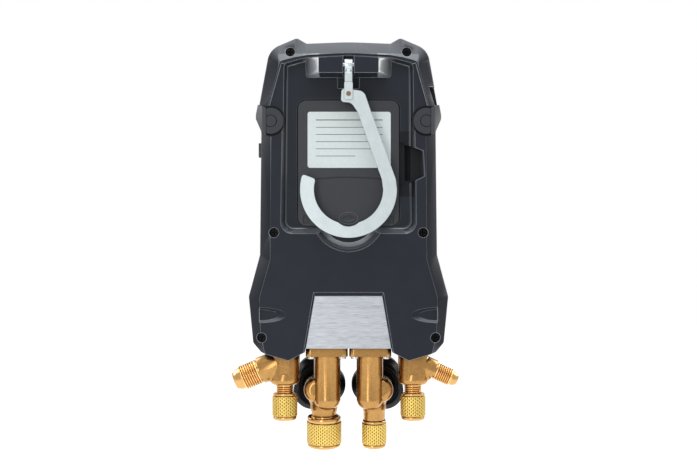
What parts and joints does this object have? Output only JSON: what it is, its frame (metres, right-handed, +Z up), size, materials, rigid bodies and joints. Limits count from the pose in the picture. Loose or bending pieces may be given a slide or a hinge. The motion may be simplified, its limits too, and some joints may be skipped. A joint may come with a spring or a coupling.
{
  "type": "refrigerant manifold gauge",
  "caption": "Handheld digital refrigerant manifold: plastic housing with a fold-out hook and battery cover, aluminium valve block, hand valves and capped brass flare ports.",
  "frame": {"origin": "centre of the hinge pin on which the hanging hook folds out, at the top of the back", "axes": "+X to the right as seen from behind, +Y from the back towards the display, +Z up towards the hook's pin from the ports"},
  "size_m": [0.1414, 0.0766, 0.2546],
  "materials": {
    "housing_grey": "fine matt grain",
    "front_grey": "fine matt grain",
    "cover_grey": "fine matt grain",
    "display_window": "clear gloss over black",
    "display_glass": "grey liquid crystal",
    "circuit_board": "solder mask",
    "inner_plastic": "plain",
    "key_rubber": "soft matt",
    "soft_rubber": "soft matt",
    "cell_wrap": "satin sleeve",
    "contact_steel": "nickel plate",
    "dark_steel": "black oxide",
    "hook_metal": "satin",
    "rivet_brass": "satin",
    "block_metal": "brushed",
    "sight_glass": "clear",
    "forged_brass": "blasted forging",
    "turned_brass": "bright turned",
    "screw_steel": "bright",
    "sensor_steel": "turned",
    "knob_black": "fine matt grain",
    "insert_red": "satin",
    "insert_blue": "satin",
    "insert_yellow": "satin",
    "insert_grey": "satin",
    "spindle_steel": "turned",
    "seal_rubber": "soft"
  },
  "bodies": {
    "housing": {"rear_shell": "housing_grey", "front_shell": "front_grey", "display_lens": "display_window", "display_module": "display_glass", "main_board": "circuit_board", "key_switches": "inner_plastic", "battery_tray": "inner_plastic", "battery_cells": "cell_wrap", "battery_contacts": "contact_steel", "case_screws": "dark_steel", "hook_pin": "screw_steel", "socket_cover_anchors": "soft_rubber", "probe_sockets": "inner_plastic", "valve_block": "block_metal", "sight_glass": "sight_glass", "sight_glass_ring": "turned_brass", "pressure_sensors": "sensor_steel", "flange_screws": "screw_steel", "valve_bonnets": "turned_brass", "valve_body_left": "forged_brass", "valve_body_right": "forged_brass", "port_body_left": "forged_brass", "port_body_right": "forged_brass", "parking_stubs": "turned_brass", "port_nipples": "turned_brass"},
    "hook_knuckle": {"hook_knuckle": "hook_metal"},
    "hook": {"hook": "hook_metal", "hook_rivet": "rivet_brass"},
    "battery_cover": {"battery_cover": "cover_grey"},
    "side_key": {"side_key": "key_rubber"},
    "socket_flap_left": {"socket_flap_left": "soft_rubber"},
    "socket_flap_right": {"socket_flap_right": "soft_rubber"},
    "front_key_1": {"front_key_1": "key_rubber"},
    "front_key_2": {"front_key_2": "key_rubber"},
    "front_key_3": {"front_key_3": "key_rubber"},
    "front_key_4": {"front_key_4": "key_rubber"},
    "knob_outer_left": {"knob_outer_left": "knob_black", "spindle_outer_left": "spindle_steel", "knob_insert_outer_left": "insert_red"},
    "piston_outer_left": {"piston_outer_left": "turned_brass"},
    "cap_seal_outer_left": {"cap_seal_outer_left": "seal_rubber"},
    "cap_outer_left": {"cap_outer_left": "turned_brass"},
    "knob_centre_left": {"knob_centre_left": "knob_black", "spindle_centre_left": "spindle_steel", "knob_insert_centre_left": "insert_grey"},
    "piston_centre_left": {"piston_centre_left": "turned_brass"},
    "cap_seal_centre_left": {"cap_seal_centre_left": "seal_rubber"},
    "cap_centre_left": {"cap_centre_left": "turned_brass"},
    "knob_centre_right": {"knob_centre_right": "knob_black", "spindle_centre_right": "spindle_steel", "knob_insert_centre_right": "insert_yellow"},
    "piston_centre_right": {"piston_centre_right": "turned_brass"},
    "cap_seal_centre_right": {"cap_seal_centre_right": "seal_rubber"},
    "cap_centre_right": {"cap_centre_right": "turned_brass"},
    "knob_outer_right": {"knob_outer_right": "knob_black", "spindle_outer_right": "spindle_steel", "knob_insert_outer_right": "insert_blue"},
    "piston_outer_right": {"piston_outer_right": "turned_brass"},
    "cap_seal_outer_right": {"cap_seal_outer_right": "seal_rubber"},
    "cap_outer_right": {"cap_outer_right": "turned_brass"}
  },
  "joints": [
    {"name": "hook_fold", "type": "hinge", "parent": "housing", "child": "hook_knuckle", "pos_m": [0, 0, 0], "axis": [-1, 0, 0], "range_deg": [0, 170]},
    {"name": "hook_swivel", "type": "hinge", "parent": "hook_knuckle", "child": "hook", "pos_m": [0, 0, -0.0104], "axis": [0, 0, 1], "range_deg": [-8, 8]},
    {"name": "battery_cover_lift", "type": "slide", "parent": "housing", "child": "battery_cover", "axis": [0, -1, 0], "range_m": [0, 0.004]},
    {"name": "side_key_press", "type": "slide", "parent": "housing", "child": "side_key", "axis": [1, 0, 0], "range_m": [0, 0.0008], "stiffness_N_per_m": 250},
    {"name": "socket_flap_left_open", "type": "hinge", "parent": "housing", "child": "socket_flap_left", "pos_m": [-0.0504, 0.0033, -0.0338], "axis": [0, 0, 1], "range_deg": [0, 100]},
    {"name": "socket_flap_right_open", "type": "hinge", "parent": "housing", "child": "socket_flap_right", "pos_m": [0.0504, 0.0033, -0.0338], "axis": [0, 0, -1], "range_deg": [0, 100]},
    {"name": "front_key_1_press", "type": "slide", "parent": "housing", "child": "front_key_1", "axis": [0, -1, 0], "range_m": [0, 0.0008], "stiffness_N_per_m": 250},
    {"name": "front_key_2_press", "type": "slide", "parent": "housing", "child": "front_key_2", "axis": [0, -1, 0], "range_m": [0, 0.0008], "stiffness_N_per_m": 250},
    {"name": "front_key_3_press", "type": "slide", "parent": "housing", "child": "front_key_3", "axis": [0, -1, 0], "range_m": [0, 0.0008], "stiffness_N_per_m": 250},
    {"name": "front_key_4_press", "type": "slide", "parent": "housing", "child": "front_key_4", "axis": [0, -1, 0], "range_m": [0, 0.0008], "stiffness_N_per_m": 250},
    {"name": "knob_outer_left_turn", "type": "hinge", "parent": "housing", "child": "knob_outer_left", "pos_m": [-0.0396, 0.048, -0.157], "axis": [0, 1, 0], "range_deg": [0, 360]},
    {"name": "piston_outer_left_lift", "type": "slide", "parent": "housing", "child": "piston_outer_left", "axis": [0, 1, 0], "range_m": [0, 0.0016]},
    {"name": "knob_centre_left_turn", "type": "hinge", "parent": "housing", "child": "knob_centre_left", "pos_m": [-0.0198, 0.048, -0.1997], "axis": [0, 1, 0], "range_deg": [0, 360]},
    {"name": "piston_centre_left_lift", "type": "slide", "parent": "housing", "child": "piston_centre_left", "axis": [0, 1, 0], "range_m": [0, 0.0016]},
    {"name": "knob_centre_right_turn", "type": "hinge", "parent": "housing", "child": "knob_centre_right", "pos_m": [0.0198, 0.048, -0.1997], "axis": [0, 1, 0], "range_deg": [0, 360]},
    {"name": "piston_centre_right_lift", "type": "slide", "parent": "housing", "child": "piston_centre_right", "axis": [0, 1, 0], "range_m": [0, 0.0016]},
    {"name": "knob_outer_right_turn", "type": "hinge", "parent": "housing", "child": "knob_outer_right", "pos_m": [0.0396, 0.048, -0.157], "axis": [0, 1, 0], "range_deg": [0, 360]},
    {"name": "piston_outer_right_lift", "type": "slide", "parent": "housing", "child": "piston_outer_right", "axis": [0, 1, 0], "range_m": [0, 0.0016]},
    {"name": "cap_outer_left_travel", "type": "slide", "parent": "housing", "child": "cap_seal_outer_left", "axis": [0, 0, -1], "range_m": [0, 0.01397]},
    {"name": "cap_outer_left_turn", "type": "hinge", "parent": "cap_seal_outer_left", "child": "cap_outer_left", "pos_m": [-0.0396, 0.02, -0.2016], "axis": [0, 0, -1], "range_deg": [0, 3960]},
    {"name": "cap_centre_left_travel", "type": "slide", "parent": "housing", "child": "cap_seal_centre_left", "axis": [0, 0.1132, -0.9936], "range_m": [0, 0.01552]},
    {"name": "cap_centre_left_turn", "type": "hinge", "parent": "cap_seal_centre_left", "child": "cap_centre_left", "pos_m": [-0.0153, 0.0245, -0.2], "axis": [0, 0.1132, -0.9936], "range_deg": [0, 3960]},
    {"name": "cap_centre_right_travel", "type": "slide", "parent": "housing", "child": "cap_seal_centre_right", "axis": [0, 0.1132, -0.9936], "range_m": [0, 0.01397]},
    {"name": "cap_centre_right_turn", "type": "hinge", "parent": "cap_seal_centre_right", "child": "cap_centre_right", "pos_m": [0.0161, 0.0245, -0.2], "axis": [0, 0.1132, -0.9936], "range_deg": [0, 3960]},
    {"name": "cap_outer_right_travel", "type": "slide", "parent": "housing", "child": "cap_seal_outer_right", "axis": [0, 0, -1], "range_m": [0, 0.01397]},
    {"name": "cap_outer_right_turn", "type": "hinge", "parent": "cap_seal_outer_right", "child": "cap_outer_right", "pos_m": [0.0401, 0.02, -0.2016], "axis": [0, 0, -1], "range_deg": [0, 3960]}
  ],
  "couplings": [
    {"joint": "piston_outer_left_lift", "follows": "knob_outer_left_turn", "m_per_rad": 0.00025465},
    {"joint": "piston_centre_left_lift", "follows": "knob_centre_left_turn", "m_per_rad": 0.00025465},
    {"joint": "piston_centre_right_lift", "follows": "knob_centre_right_turn", "m_per_rad": 0.00025465},
    {"joint": "piston_outer_right_lift", "follows": "knob_outer_right_turn", "m_per_rad": 0.00025465},
    {"joint": "cap_outer_left_travel", "follows": "cap_outer_left_turn", "m_per_rad": 0.00020213},
    {"joint": "cap_centre_left_travel", "follows": "cap_centre_left_turn", "m_per_rad": 0.00022458},
    {"joint": "cap_centre_right_travel", "follows": "cap_centre_right_turn", "m_per_rad": 0.00020213},
    {"joint": "cap_outer_right_travel", "follows": "cap_outer_right_turn", "m_per_rad": 0.00020213}
  ]
}
